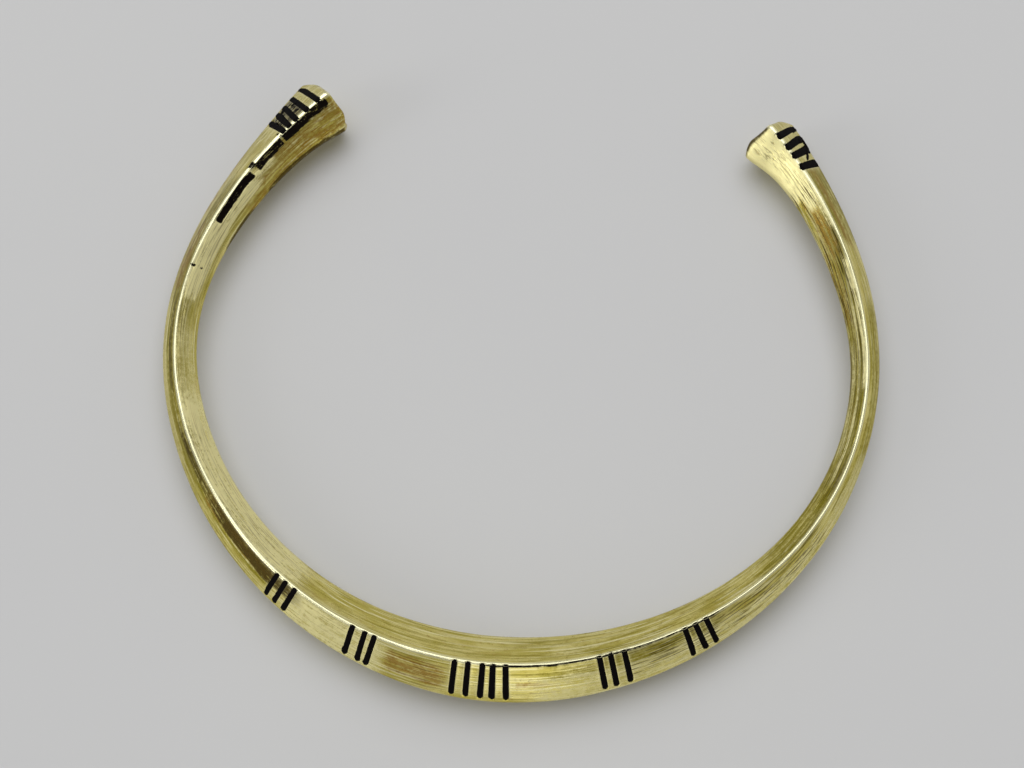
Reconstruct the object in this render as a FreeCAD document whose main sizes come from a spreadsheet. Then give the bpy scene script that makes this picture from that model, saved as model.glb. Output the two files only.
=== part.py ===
import FreeCAD, Part, Sketcher
import math
import os

# Open brass cuff bracelet. One solid bar of lozenge section is bent into a hoop with a gap, and short
# lines are cut across its outward upper face and filled with black.
#
# Frame: +Z is up and the hoop lies flat on Z = 0. The front of the hoop, its thickest stretch, faces -Y,
# and the gap faces +Y. The origin is at the middle of the outer box, on the resting plane.
# Lengths are in millimetres and angles in degrees. A bar angle is measured at the hoop's centre from the
# middle of the front, and grows towards +X.

Vector = FreeCAD.Vector
UP_IN_SKETCH = Vector(0, 1, 0)

SHEET = "sizes"

# Driving dimensions: alias, value, meaning.
SIZES = [
    ("crest_radius", 31.1, "mean radius of the crest line"),
    ("three_lobe", -0.5, "how far the hand-bent hoop swells three times a turn"),
    ("four_lobe", 0.35, "how far it swells four times a turn"),
    ("lobe_turn", 6.8, "angle by which both swellings are turned"),
    ("hoop_shift_x", 0.39, "hoop's centre from the middle of the outer box, along X"),
    ("hoop_shift_y", 4.435, "hoop's centre from the middle of the outer box, along Y"),
    ("mid_height", 2.7, "height of the bar's middle plane above the resting plane"),
    ("crest_land", 0.5, "width of the worn flat along the crest and along the underside"),
    ("outer_land", 0.6, "height of the blunt outer edge"),
    ("inner_land", 1.0, "height of the blunt inner edge"),
    ("shoulder_angle", 136.2, "bar angle where an end's rim begins to round off"),
    ("shoulder_inset", 0.12, "how far the section is drawn in there"),
    ("end_angle", 137.0, "bar angle of both end faces"),
    ("face_inset", 0.65, "how far the rounded rim draws an end face in"),
    ("line_radius", 0.27, "radius of a cut line's round bottom"),
    ("trim_depth", 5.0, "thickness of the block that trims the underside flat"),
]

# The bar's width along the hoop: name, bar angle, then how far the outer and inner edges lie from the crest.
STATIONS = [
    ("left_end", -135.1, 4.1, 2.7),
    ("left_neck", -125.0, 2.95, 2.2),
    ("left_back", -110.0, 2.05, 2.1),
    ("left_side", -90.0, 1.75, 1.6),
    ("left_quarter", -60.0, 1.7, 2.0),
    ("left_front", -30.0, 2.2, 2.6),
    ("front", 0.0, 2.7, 3.1),
    ("right_front", 30.0, 2.35, 2.45),
    ("right_quarter", 60.0, 1.45, 1.7),
    ("right_side", 90.0, 1.3, 1.45),
    ("right_back", 110.0, 1.8, 1.7),
    ("right_neck", 125.0, 2.3, 1.8),
    ("right_end", 135.1, 2.95, 2.85),
]

# Where a line starts and stops on the outward face: 0 is the crest and 1 is the outer edge.
FRONT_REACH = (0.05, 0.93)
END_REACH = (-0.08, 1.0)

# The hand-cut lines: group, reach, then each line's bar angle at the crest and its lean in degrees.
LINE_GROUPS = [
    ("left_end", END_REACH, [(-134.2, -0.3), (-131.6, -0.6), (-129.1, -1.3), (-127.4, -1.4), (-126.0, -0.8)]),
    ("front_left_outer", FRONT_REACH, [(-36.8, -0.3), (-34.9, -0.3), (-32.9, -0.5)]),
    ("front_left_inner", FRONT_REACH, [(-21.5, -0.1), (-19.3, 0.0), (-17.6, -0.4)]),
    ("front_center", FRONT_REACH, [(-4.2, -0.2), (-2.1, -0.1), (0.2, -0.3), (1.8, -0.1), (3.8, 0.0)]),
    ("front_right_inner", FRONT_REACH, [(18.5, 0.0), (20.3, -0.1), (22.5, -0.1)]),
    ("front_right_outer", FRONT_REACH, [(32.7, -0.2), (34.5, 0.2), (36.4, 0.1)]),
    ("right_end", END_REACH, [(127.2, 0.6), (129.6, 1.0), (131.5, 1.5), (133.9, 1.1)]),
]

MARGIN = 1.0        # how far a cutting block runs past what it cuts
TOLERANCE = 0.01    # two corners this close count as level
MAX_NODES = 60


def make_sheet(doc):
    """Write every driving dimension into the spreadsheet, each under its own alias."""
    sheet = doc.addObject("Spreadsheet::Sheet", SHEET)
    rows = list(SIZES)
    for name, angle, outward, inward in STATIONS:
        rows.append((f"{name}_angle", angle, f"bar angle of the {name} section"))
        rows.append((f"{name}_outward", outward, "crest to outer edge"))
        rows.append((f"{name}_inward", inward, "crest to inner edge"))
    for row, (alias, value, meaning) in enumerate(rows, start=1):
        sheet.set(f"A{row}", meaning)
        sheet.set(f"B{row}", str(value))
        sheet.setAlias(f"B{row}", alias)
    doc.recompute()
    return sheet


def origin_plane(body, role):
    """Find one of a body's own origin planes by its role."""
    return next(feature for feature in body.Origin.OriginFeatures if feature.Role == role)


def crest_expression(angle):
    """Radius of the crest line at a bar angle, as a formula on the sheet."""
    turned = f"({angle} + {SHEET}.lobe_turn)"
    return (f"{SHEET}.crest_radius + {SHEET}.three_lobe * cos(3 * {turned})"
            f" + {SHEET}.four_lobe * cos(4 * {turned})")


def crest_radius(sheet, angle):
    """Radius of the crest line at a bar angle, as a number."""
    turned = math.radians(angle + sheet.lobe_turn)
    swell = sheet.three_lobe * math.cos(3 * turned) + sheet.four_lobe * math.cos(4 * turned)
    return sheet.crest_radius + swell


def section_sketch(body, sheet, name, station, angle, inset):
    """Draw the eight-sided section of the bar on the upright plane through the hoop's centre at one angle.

    angle and inset are formulas on the sheet. The inset draws every side of the section in.
    """
    sketch = body.newObject("Sketcher::SketchObject", name)
    sketch.AttachmentSupport = [(origin_plane(body, "XZ_Plane"), "")]
    sketch.MapMode = "FlatFace"
    sketch.AttachmentOffset = FreeCAD.Placement(Vector(0, 0, 0), FreeCAD.Rotation(UP_IN_SKETCH, 1))
    sketch.setExpression("AttachmentOffset.Base.x", f"{SHEET}.hoop_shift_x")
    sketch.setExpression("AttachmentOffset.Base.y", f"{SHEET}.mid_height")
    sketch.setExpression("AttachmentOffset.Base.z", f"-{SHEET}.hoop_shift_y")
    sketch.setExpression("AttachmentOffset.Rotation.Angle", f"{angle} - 90")

    outward = getattr(sheet, f"{station}_outward")
    inward = getattr(sheet, f"{station}_inward")
    middle = crest_radius(sheet, getattr(sheet, f"{station}_angle"))
    height = (outward + inward) / 2
    crest = sheet.crest_land / 2
    outer = sheet.outer_land / 2
    inner = sheet.inner_land / 2
    corners = [
        (middle - crest, height),
        (middle + crest, height),
        (middle + outward, outer),
        (middle + outward, -outer),
        (middle + crest, -height),
        (middle - crest, -height),
        (middle - inward, -inner),
        (middle - inward, inner),
    ]
    sides = len(corners)
    points = [Vector(x, y, 0) for x, y in corners]
    for side in range(sides):
        sketch.addGeometry(Part.LineSegment(points[side], points[(side + 1) % sides]))
    for side in range(sides):
        sketch.addConstraint(Sketcher.Constraint("Coincident", side, 2, (side + 1) % sides, 1))

    # Every corner above the middle plane mirrors the one below it.
    for upper, lower in ((0, 5), (1, 4), (2, 3), (7, 6)):
        sketch.addConstraint(Sketcher.Constraint("Symmetric", upper, 1, lower, 1, -1))
    sketch.addConstraint(Sketcher.Constraint("Horizontal", 0))

    radius = crest_expression(angle)
    half_height = f"({SHEET}.{station}_outward + {SHEET}.{station}_inward) / 2"
    driven = [
        ("crest_start", ("DistanceX", -1, 1, 0, 1), middle - crest, f"{radius} - {SHEET}.crest_land / 2"),
        ("crest_width", ("DistanceX", 0, 1, 1, 1), 2 * crest, f"{SHEET}.crest_land"),
        ("crest_height", ("DistanceY", -1, 1, 0, 1), height, f"{half_height} - {inset}"),
        ("outer_reach", ("DistanceX", -1, 1, 2, 1), middle + outward,
         f"{radius} + {SHEET}.{station}_outward - {inset}"),
        ("inner_reach", ("DistanceX", -1, 1, 7, 1), middle - inward,
         f"{radius} - {SHEET}.{station}_inward + {inset}"),
        ("outer_edge", ("DistanceY", 3, 1, 2, 1), 2 * outer, f"{SHEET}.outer_land"),
        ("inner_edge", ("DistanceY", 6, 1, 7, 1), 2 * inner, f"{SHEET}.inner_land"),
    ]
    for label, where, value, formula in driven:
        number = sketch.addConstraint(Sketcher.Constraint(*where, value))
        sketch.renameConstraint(number, label)
        sketch.setExpression(f"Constraints.{label}", formula)
    return sketch


def add_loft(body, name, sketches, ruled):
    """Loft the bar through a row of sections."""
    loft = body.newObject("PartDesign::AdditiveLoft", name)
    loft.Profile = sketches[0]
    loft.Sections = sketches[1:]
    loft.Ruled = ruled
    for sketch in sketches:
        sketch.Visibility = False
    body.Document.recompute()
    return loft


def make_blank(doc, sheet):
    """The bar before its lines are cut: the bent hoop, two rounded ends and a trimmed underside."""
    body = doc.addObject("PartDesign::Body", "cuff_blank")
    sections = []
    for station, _, _, _ in STATIONS:
        angle = f"{SHEET}.{station}_angle"
        sections.append(section_sketch(body, sheet, f"{station}_section", station, angle, "0"))
    doc.recompute()
    add_loft(body, "bent_bar", sections, False)

    for station, sign, section in (("left_end", "-", sections[0]), ("right_end", "", sections[-1])):
        tips = [
            section_sketch(body, sheet, f"{station}_{part}", station, f"{sign}{SHEET}.{angle}", f"{SHEET}.{inset}")
            for part, angle, inset in (("shoulder", "shoulder_angle", "shoulder_inset"),
                                       ("face", "end_angle", "face_inset"))
        ]
        doc.recompute()
        add_loft(body, f"{station}_rounding", [section, *tips], True)

    trim = body.newObject("PartDesign::SubtractiveBox", "underside_trim")
    trim.AttachmentSupport = [(origin_plane(body, "XY_Plane"), "")]
    trim.MapMode = "FlatFace"
    reach = f"({SHEET}.crest_radius + {SHEET}.front_outward + {MARGIN})"
    trim.setExpression("Length", f"2 * {reach}")
    trim.setExpression("Width", f"2 * {reach}")
    trim.setExpression("Height", f"{SHEET}.trim_depth")
    trim.setExpression("AttachmentOffset.Base.x", f"{SHEET}.hoop_shift_x - {reach}")
    trim.setExpression("AttachmentOffset.Base.y", f"{SHEET}.hoop_shift_y - {reach}")
    trim.setExpression("AttachmentOffset.Base.z", f"-{SHEET}.trim_depth")
    doc.recompute()
    return body


def face_corners(blank, sheet, angle):
    """Cut the blank at a bar angle and return the ends of the outward upper face's slope."""
    turn = math.radians(angle)
    outward = Vector(math.sin(turn), -math.cos(turn), 0)
    along = Vector(math.cos(turn), math.sin(turn), 0)
    centre = Vector(sheet.hoop_shift_x, sheet.hoop_shift_y, 0)
    wires = blank.Shape.slice(along, along.dot(centre))
    near = [wire for wire in wires if outward.dot(wire.BoundBox.Center - centre) > 0]
    corners = [vertex.Point for vertex in near[0].Vertexes]

    def reach(point):
        return outward.dot(point - centre)

    top = max(point.z for point in corners)
    crest = max((point for point in corners if point.z > top - TOLERANCE), key=reach)
    edge = max(reach(point) for point in corners)
    outer = max((point for point in corners if reach(point) > edge - TOLERANCE), key=lambda point: point.z)
    return crest, outer


def line_tool(doc, blank, sheet, name, angle, lean, reach):
    """A round bar that lies in the outward face and cuts one line across it."""
    crest = face_corners(blank, sheet, angle)[0]
    outer = face_corners(blank, sheet, angle + lean)[1]
    slope = outer - crest
    start = crest + slope * reach[0]
    stop = crest + slope * reach[1]
    tool = doc.addObject("Part::Cylinder", name)
    tool.setExpression("Radius", f"{SHEET}.line_radius")
    tool.Height = (stop - start).Length
    tool.Placement = FreeCAD.Placement(start, FreeCAD.Rotation(Vector(0, 0, 1), slope))
    return tool


def make_line_fills(doc, blank, sheet):
    """Each group of lines: its cutting tools, and the black filling that they leave room for."""
    cutters = []
    fills = []
    for group, reach, lines in LINE_GROUPS:
        tools = [
            line_tool(doc, blank, sheet, f"{group}_tool_{number}", angle, lean, reach)
            for number, (angle, lean) in enumerate(lines, start=1)
        ]
        doc.recompute()
        cutter = doc.addObject("Part::MultiFuse", f"{group}_cutter")
        cutter.Shapes = tools
        cutters.append(cutter)
        fill = doc.addObject("Part::MultiCommon", f"{group}_line_fill")
        fill.Shapes = [blank, cutter]
        fill.Label = f"{group}_line_fill"
        fills.append(fill)
    doc.recompute()
    return cutters, fills


def make_bar(doc, blank, cutters):
    """The finished bar: the blank with all its lines cut."""
    all_lines = doc.addObject("Part::MultiFuse", "all_lines")
    all_lines.Shapes = cutters
    bar = doc.addObject("Part::Cut", "cuff_bar")
    bar.Base = blank
    bar.Tool = all_lines
    bar.Label = "cuff_bar"
    doc.recompute()
    return bar


def check_document(doc, nodes):
    """Stop if any object failed, or if a sub-part isn't the solids that it should be."""
    for item in doc.Objects:
        if "Invalid" in item.State or "Error" in item.State:
            raise RuntimeError(f"{item.Label} failed: {item.State}")
    if len(nodes) > MAX_NODES:
        raise RuntimeError("too many sub-parts")
    for node, solids in nodes:
        shape = node.Shape
        if shape.isNull() or not shape.isValid():
            raise RuntimeError(f"{node.Label} has no valid shape")
        if len(shape.Solids) != solids:
            raise RuntimeError(f"{node.Label} has {len(shape.Solids)} solids, not {solids}")


def check_volume(blank, bar, fills):
    """The lines cut out of the blank and the filling must be the same volume."""
    removed = blank.Shape.Volume - bar.Shape.Volume
    filled = sum(fill.Shape.Volume for fill in fills)
    if abs(removed - filled) > TOLERANCE * filled:
        raise RuntimeError(f"cut {removed:.3f} mm3 but filled {filled:.3f} mm3")


def check_box(bar):
    """The bar must rest on Z = 0, with the origin at the middle of its outline; print its outer box."""
    box = bar.Shape.optimalBoundingBox(False, False)
    off_centre = max(abs(box.Center.x), abs(box.Center.y), abs(box.ZMin))
    if off_centre > TOLERANCE:
        raise RuntimeError(f"the origin is {off_centre:.3f} mm off")
    print(f"outer box {box.XLength:.3f} x {box.YLength:.3f} x {box.ZLength:.3f} mm")


def main():
    doc = FreeCAD.newDocument("cuff_bracelet")
    sheet = make_sheet(doc)
    blank = make_blank(doc, sheet)
    cutters, fills = make_line_fills(doc, blank, sheet)
    bar = make_bar(doc, blank, cutters)
    nodes = [(bar, 1)]
    for fill, (_, _, lines) in zip(fills, LINE_GROUPS):
        nodes.append((fill, len(lines)))
    check_document(doc, nodes)
    check_volume(blank, bar, fills)
    check_box(bar)
    os.makedirs("parts", exist_ok=True)
    for node, _ in nodes:
        node.Shape.exportStep(f"parts/{node.Label}.step")
    print(f"bar {bar.Shape.Volume:.1f} mm3, filling {sum(fill.Shape.Volume for fill in fills):.2f} mm3")


main()
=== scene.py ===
import math

import bpy
import numpy as np
from mathutils import Matrix, Vector
from mathutils.bvhtree import BVHTree


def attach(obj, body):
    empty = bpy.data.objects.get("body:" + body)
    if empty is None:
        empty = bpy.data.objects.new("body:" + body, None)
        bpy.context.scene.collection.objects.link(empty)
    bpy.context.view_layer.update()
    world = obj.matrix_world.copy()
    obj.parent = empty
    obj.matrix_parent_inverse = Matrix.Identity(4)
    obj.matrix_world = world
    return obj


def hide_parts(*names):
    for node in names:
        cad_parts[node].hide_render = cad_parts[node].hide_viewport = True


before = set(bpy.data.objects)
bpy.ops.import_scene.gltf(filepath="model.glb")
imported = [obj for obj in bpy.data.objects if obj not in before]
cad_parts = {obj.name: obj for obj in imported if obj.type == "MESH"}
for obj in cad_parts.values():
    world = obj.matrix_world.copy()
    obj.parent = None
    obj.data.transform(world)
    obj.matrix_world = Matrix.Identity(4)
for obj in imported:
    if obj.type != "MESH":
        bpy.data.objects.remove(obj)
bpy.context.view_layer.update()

# The looks of an open brass cuff: one hand-filed bar with a crest, and black-filled lines cut across it.
# Shapes are worked out in millimetres and written to meshes in metres. A bar angle is in degrees. It is
# measured at the hoop's centre from the middle of the front (-Y), and grows towards +X.
#
# The bar is a grid of rings, one for each bar angle, all with the same points round the section. Its
# inner, outer and crest radii come from the frame. Marks are cut into the grid along its normals. Where
# they are, where the surface has changed, and where shade and dark reflections are painted on, is stored
# on the mesh for the brass material to colour.

MM = 0.001
BODY = "root"
HOOP_CENTRE = np.array([0.39, 4.435])
HOOP_RADIUS = 31.0      # of the crest line, roughly
MID_HEIGHT = 2.7        # of the bar's middle plane
END_ANGLE = 137.0
PROBE_ANGLE = 135.0     # the bar is measured up to here, short of its rounded ends
CAD_INNER_LAND = 1.0    # height of the frame's blunt inner edge
CAD_CREST_LAND = 0.5    # width of the flat along the frame's crest

# The hand-cut lines, as in the frame: group, reach over the face (0 crest, 1 outer edge), then each
# line's bar angle at the crest and its lean, which is how far it turns on its way to the outer edge.
FRONT_REACH = (-0.02, 0.89)
END_REACH = (-0.08, 0.93)
LINE_GROUPS = [
    ("left_end", END_REACH, [(-134.2, -0.3), (-131.6, -0.6), (-129.1, -1.3), (-127.4, -1.4),
                             (-126.0, -0.8)]),
    ("front_left_outer", FRONT_REACH, [(-36.8, -0.3), (-34.9, -0.3), (-32.9, -0.5)]),
    ("front_left_inner", FRONT_REACH, [(-21.5, -0.1), (-19.3, 0.0), (-17.6, -0.4)]),
    ("front_center", FRONT_REACH, [(-4.2, -0.2), (-2.1, -0.1), (0.2, -0.3), (1.8, -0.1),
                                   (3.8, 0.0)]),
    ("front_right_inner", FRONT_REACH, [(18.5, 0.0), (20.3, -0.1), (22.5, -0.1)]),
    ("front_right_outer", FRONT_REACH, [(32.7, -0.2), (34.5, 0.2), (36.4, 0.1)]),
    ("right_end", END_REACH, [(127.2, 0.6), (129.6, 1.0), (131.5, 1.5), (133.9, 1.1)]),
]
ALL_LINES = [line for group in LINE_GROUPS for line in group[2]]
LINE_HALF_WIDTHS = {"left_end": 0.31, "right_end": 0.36}
USUAL_HALF_WIDTH = 0.252
LINE_DEPTH = 0.16

# How far the hand-filed crest wanders outward from the frame's crest, and how wide its worn land is:
# pairs of bar angle and millimetres.
CREST_WANDER = [(-136, 0.0), (-110, 0.0), (-92, 0.2), (-82, 0.25), (-68, 0.1), (-52, -0.1), (-35, 0.0),
                (100, 0.0), (122, 0.22), (136, 0.0)]
CREST_LAND = [(-136, 0.40), (-108, 0.32), (-98, 0.2), (-60, 0.22), (-10, 0.24), (10, 0.20),
              (104, 0.20), (120, 0.22), (136, 0.34)]


# ---------------------------------------------------------------- numbers along the bar

FAR = 50.0              # well outside the hoop
PROBE_STEP = 0.5
MEASURE_REACH = 3.0     # how far the measured radii are smoothed along the bar, in degrees
CREST_REACH = 6.0       # and how far the crest's wander and land are
NOISE_CELLS = 257       # the noise repeats after this many cells
NOISE_OFFSET = 1000.5   # keeps its coordinates above zero


def radial(angle):
    """Unit vector from the hoop's centre outward at a bar angle."""
    turn = np.radians(np.asarray(angle, float))
    return np.stack([np.sin(turn), -np.cos(turn)], -1)


def smoothed(values, reach):
    """Average evenly spaced values with a bell-shaped weight that spans reach samples each side."""
    weight = np.exp(-0.5 * (np.linspace(-2.5, 2.5, 2 * reach + 1)) ** 2)
    before = 2 * values[0] - values[reach:0:-1]
    after = 2 * values[-1] - values[-2:-reach - 2:-1]
    return np.convolve(np.concatenate([before, values, after]), weight / weight.sum(), "valid")


class Along:
    """A quantity that varies smoothly along the bar, read at any bar angle."""
    STEP = 0.25
    MARGIN = 4

    def __init__(self, angles, values, reach):
        last = END_ANGLE + self.MARGIN
        self.grid = np.arange(-last, last + self.STEP, self.STEP)
        self.values = smoothed(np.interp(self.grid, angles, values), round(reach / self.STEP))

    def __call__(self, angle):
        return np.interp(angle, self.grid, self.values)


def measure_bar(node):
    """Read the bar's inner, outer and crest radii from the frame, by probing it along its length."""
    mesh = node.data
    corners = [v.co.copy() for v in mesh.vertices]
    tree = BVHTree.FromPolygons(corners, [list(p.vertices) for p in mesh.polygons])
    down = Vector((0.0, 0.0, -1.0))
    angles = np.arange(-PROBE_ANGLE, PROBE_ANGLE + PROBE_STEP / 2, PROBE_STEP)
    rows = []
    for angle in angles:
        outward = Vector((*radial(angle), 0.0))
        centre = Vector((*HOOP_CENTRE, MID_HEIGHT)) * MM
        inner = tree.ray_cast(centre, outward)[3] / MM
        outer = FAR - tree.ray_cast(centre + outward * FAR * MM, -outward)[3] / MM
        height = (outer - inner) / 2
        probe = height / 2
        above = centre + outward * (inner + probe) * MM + Vector((0.0, 0.0, 2 * height * MM))
        rise = tree.ray_cast(above, down)[0].z / MM
        slope = (rise - MID_HEIGHT - CAD_INNER_LAND / 2) / probe
        crest = inner + (height - CAD_INNER_LAND / 2) / slope + CAD_CREST_LAND / 2
        rows.append((inner, outer, crest))
    inner, outer, crest = np.array(rows).T
    return [Along(angles, values, MEASURE_REACH) for values in (inner, outer, crest)]


inner_radius, outer_radius, cad_crest_radius = measure_bar(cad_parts["cuff_bar"])
crest_wander = Along(*np.array(CREST_WANDER).T, CREST_REACH)
crest_land = Along(*np.array(CREST_LAND).T, CREST_REACH)


def noise(x, y, seed, octaves=1):
    """Smooth value noise over two coordinates: -1 to 1, and each finer octave half as strong.

    Each use has a seed of its own, so no two share a pattern.
    """
    total = np.zeros(np.broadcast(x, y).shape)
    for octave in range(octaves):
        scale = 2 ** octave
        lattice = np.random.default_rng(seed + octave).uniform(-1, 1, (NOISE_CELLS, NOISE_CELLS))
        u = np.asarray(x) * scale + NOISE_OFFSET
        v = np.asarray(y) * scale + NOISE_OFFSET
        column = np.floor(u).astype(int)
        row = np.floor(v).astype(int)
        fu = u - column
        fv = v - row
        fu = fu * fu * (3 - 2 * fu)
        fv = fv * fv * (3 - 2 * fv)
        left, right = column % NOISE_CELLS, (column + 1) % NOISE_CELLS
        front, back = row % NOISE_CELLS, (row + 1) % NOISE_CELLS
        a = lattice[left, front]
        b = lattice[right, front]
        c = lattice[left, back]
        d = lattice[right, back]
        total += ((a * (1 - fu) + b * fu) * (1 - fv) + (c * (1 - fu) + d * fu) * fv) / scale
    return total


# ---------------------------------------------------------------- the bar's section

# The section's corners, in order round it: how far the rounding reaches, and how many points it has.
# Then the side that follows each corner: how far it bulges outward, and how many points it has.
CREST_ROUND = 0.09
CORNERS = {
    "crest_outer": (CREST_ROUND, 5),
    "outer": (0.42, 7),
    "under": (0.45, 7),
    "inner": (0.75, 9),
    "crest_inner": (CREST_ROUND, 5),
}
SIDES = {
    "outward_upper": (0.05, 17),
    "outward_lower": (0.06, 8),
    "inward_lower": (0.06, 8),
    "inward_upper": (0.07, 15),
    "land": (0.018, 3),
}
ROUND_DROP = 0.354      # how far a square corner rounded over a length of 1 falls short of its point
UNDER_SOFT = 0.05       # how softly the worn underside meets the rest of the section


def section_corners(angle):
    """The section's corners at each bar angle, unrounded: radius, and height above the middle plane."""
    outer = outer_radius(angle)
    inner = inner_radius(angle)
    height = (outer - inner) / 2
    under = cad_crest_radius(angle)
    crest = under + crest_wander(angle)
    half_land = crest_land(angle) / 2
    zero = np.zeros_like(height)
    return [
        (crest + half_land, height),
        (outer + ROUND_DROP * CORNERS["outer"][0], zero),
        (under, -height - ROUND_DROP * CORNERS["under"][0]),
        (inner - ROUND_DROP * CORNERS["inner"][0], zero),
        (crest - half_land, height),
    ]


def stepped(vectors, length):
    """Vectors scaled to a length."""
    return vectors * (length / np.linalg.norm(vectors, axis=-1))[..., None]


def outward_of(run):
    """Unit vectors that point out of the section, square to runs that go round it."""
    return np.stack([-run[..., 1], run[..., 0]], -1) / np.linalg.norm(run, axis=-1)[..., None]


def section(angle):
    """Points round the section at each bar angle: radius, and height above the middle plane."""
    corners = [np.stack(corner, -1) for corner in section_corners(angle)]
    count = len(corners)
    rounds = list(CORNERS.values())
    sides = list(SIDES.values())
    points = []
    for index in range(count):
        before, corner, after = corners[index - 1], corners[index], corners[(index + 1) % count]
        length, steps = rounds[index]
        start = corner + stepped(before - corner, length)
        stop = corner + stepped(after - corner, length)
        for t in np.linspace(0, 1, steps):
            points.append((1 - t) ** 2 * start + 2 * t * (1 - t) * corner + t ** 2 * stop)
        side_end = after - stepped(after - corner, rounds[(index + 1) % count][0])
        run = side_end - stop
        outward = outward_of(run)
        bulge, steps = sides[index]
        for t in np.linspace(0, 1, steps + 2)[1:-1]:
            points.append(stop + run * t + outward * bulge * 4 * t * (1 - t))
    return np.stack(points, 1)


def outward_share():
    """How far each point of the section follows a line's lean: 0 at the crest, 1 at the outer edge."""
    share = []
    for (corner, (_, corner_points)), (side, (_, side_points)) in zip(CORNERS.items(), SIDES.items()):
        share += [1.0 if corner == "outer" else 0.0] * corner_points
        run = np.linspace(0, 1, side_points + 2)[1:-1]
        share += list({"outward_upper": run, "outward_lower": 1 - run}.get(side, 0 * run))
    return np.array(share)


OUTWARD_SHARE = outward_share()


# ---------------------------------------------------------------- lines, dents, stains and painted shade

LEAN_FADE = 2.5         # how far beyond a group its lean dies out, in degrees
LINE_ENDS = (0.04, -0.02)       # from a line's reach over the face to where its cut starts and stops
LINE_END_SOFT = 0.06
RAISED_PLACE = 1.1      # where the metal is pushed up beside a line, in half widths from its middle
RAISED_WIDTH = 0.5
UPPER_SOFT = 0.2        # how softly the upper faces' marks fade below the middle plane
PATCH_LOW = -0.9        # how far down the bar's sides the patches reach, painted shade among them
PATCH_LOW_SOFT = 0.5


def lean_of(angle):
    """How far, in degrees, the bar's cross lines lean over the outward face at a bar angle."""
    angles = []
    leans = []
    for _, _, lines in LINE_GROUPS:
        group = sorted(lines)
        angles += [group[0][0] - LEAN_FADE] + [line[0] for line in group] + [group[-1][0] + LEAN_FADE]
        leans += [0.0] + [line[1] for line in group] + [0.0]
    return np.interp(angle, angles, leans)


def leaned(angle):
    """Section points at each bar angle, with the outward side carried round by the lines' lean."""
    lean = lean_of(angle)
    here = section(angle)
    there = section(angle + lean)
    share = OUTWARD_SHARE[None, :, None]
    turned = np.asarray(angle)[:, None] + lean[:, None] * OUTWARD_SHARE[None, :]
    return turned, here * (1 - share) + there * share


def place(angle, points):
    """Turn section points (radius, height) at bar angles into positions."""
    radius = points[..., 0]
    flat = HOOP_CENTRE + radial(angle) * radius[..., None]
    raised = MID_HEIGHT + points[..., 1]
    rested = 0.5 * (raised + np.sqrt(raised ** 2 + UNDER_SOFT ** 2))
    return np.concatenate([flat, rested[..., None]], -1)


# Dents from filing and wear: bar angle, place across (0 crest, 1 outer edge, -1 inner edge), then length
# along the bar, width across it and depth.
DENTS = [
    (-124.9, -0.06, 0.20, 0.40, 0.12),
    (-117.3, -0.02, 0.30, 0.45, 0.16),
    (-116.6, -0.18, 0.25, 0.25, 0.10),
    (-96.8, -0.14, 0.12, 0.14, 0.09),
    (-96.9, -0.48, 0.10, 0.14, 0.08),
    (-99.2, -0.52, 0.30, 0.12, 0.06),
    (-112.0, -0.70, 0.20, 0.25, 0.05),
    (-88.5, -0.25, 0.45, 0.18, 0.05),
    (-91.5, -0.55, 0.30, 0.15, 0.05),
    (18.8, -0.08, 0.12, 0.22, 0.06),
    (107.5, -0.10, 0.25, 0.15, 0.06),
    (126.0, -0.60, 0.30, 0.30, 0.04),
]

# A narrow filed channel just inside the crest near the left end: first and last bar angle.
CHANNELS = [(-135.4, -125.3), (-124.4, -118.2), (-116.4, -106.0)]
CHANNEL_PLACE = 0.33    # from the edge of the crest's land, in millimetres
CHANNEL_WIDTH = 0.30    # half its width
CHANNEL_DEPTH = 0.07
CHANNEL_WOBBLE = 0.05   # how far its edges waver
CHANNEL_SOFT = 0.35     # how softly each length of it ends, in degrees
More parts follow.
